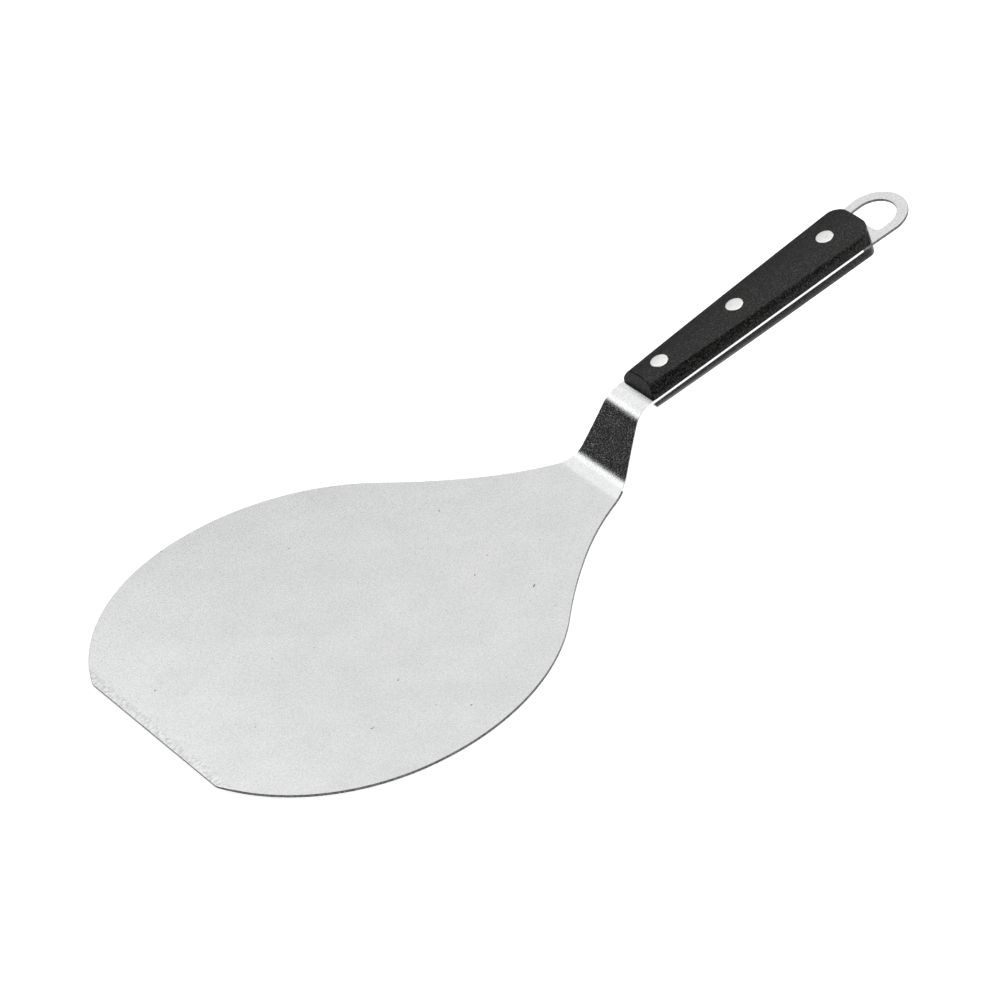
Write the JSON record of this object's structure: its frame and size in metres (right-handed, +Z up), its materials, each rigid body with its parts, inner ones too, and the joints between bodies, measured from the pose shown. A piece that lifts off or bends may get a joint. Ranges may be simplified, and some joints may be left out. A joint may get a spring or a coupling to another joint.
{
  "type": "pizza peel",
  "caption": "Short steel pizza peel: a round blade with a ground front edge, a cranked neck, a riveted black handle and a hanging loop.",
  "frame": {"origin": "centre of the round blade on its flat underside", "axes": "+X runs from the blade to the handle, +Z is up out of the blade's flat, and Y is the direction the peel is symmetric in"},
  "size_m": [0.3879, 0.2, 0.0541],
  "materials": {
    "blade_steel": "lightly brushed stainless sheet",
    "handle_black": "black composite, fine pebbled sheen",
    "rivet_steel": "ground flush, satin"
  },
  "bodies": {
    "root": {"blade": "blade_steel", "scale_upper": "handle_black", "scale_lower": "handle_black", "rivet_socket_front": "rivet_steel", "rivet_socket_middle": "rivet_steel", "rivet_socket_rear": "rivet_steel", "rivet_stud_front": "rivet_steel", "rivet_stud_middle": "rivet_steel", "rivet_stud_rear": "rivet_steel"}
  },
  "joints": []
}
